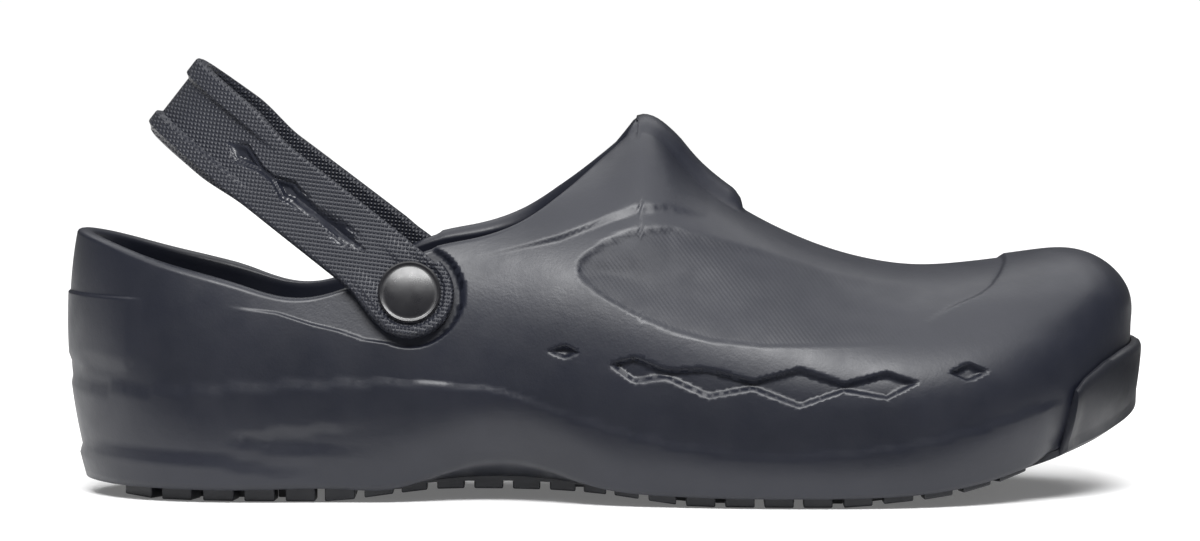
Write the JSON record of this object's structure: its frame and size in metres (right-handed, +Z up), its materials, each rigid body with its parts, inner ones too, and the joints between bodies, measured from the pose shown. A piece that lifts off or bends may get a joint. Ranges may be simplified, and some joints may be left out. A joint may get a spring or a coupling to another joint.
{
  "type": "chef clog",
  "caption": "Moulded foam work clog with a slip-resistant rubber outsole, a toe bumper and a pivoting heel strap on flat rivets; right shoe.",
  "frame": {"origin": "bottom centre of the shoe's box, on the floor that it stands on", "axes": "+X towards the toe, +Y towards the inner side of the foot, +Z up"},
  "size_m": [0.2952, 0.1082, 0.1194],
  "materials": {
    "moulded_foam": "fine-grained satin foam",
    "outsole_rubber": "matt rubber",
    "footbed_foam": "soft matt foam",
    "strap_foam": "knurled satin foam",
    "rivet_plastic": "glossy"
  },
  "bodies": {
    "root": {"upper": "moulded_foam", "outsole": "outsole_rubber", "insole": "footbed_foam", "heel_strap": "strap_foam", "rivet_lateral": "rivet_plastic", "rivet_medial": "rivet_plastic"}
  },
  "joints": []
}
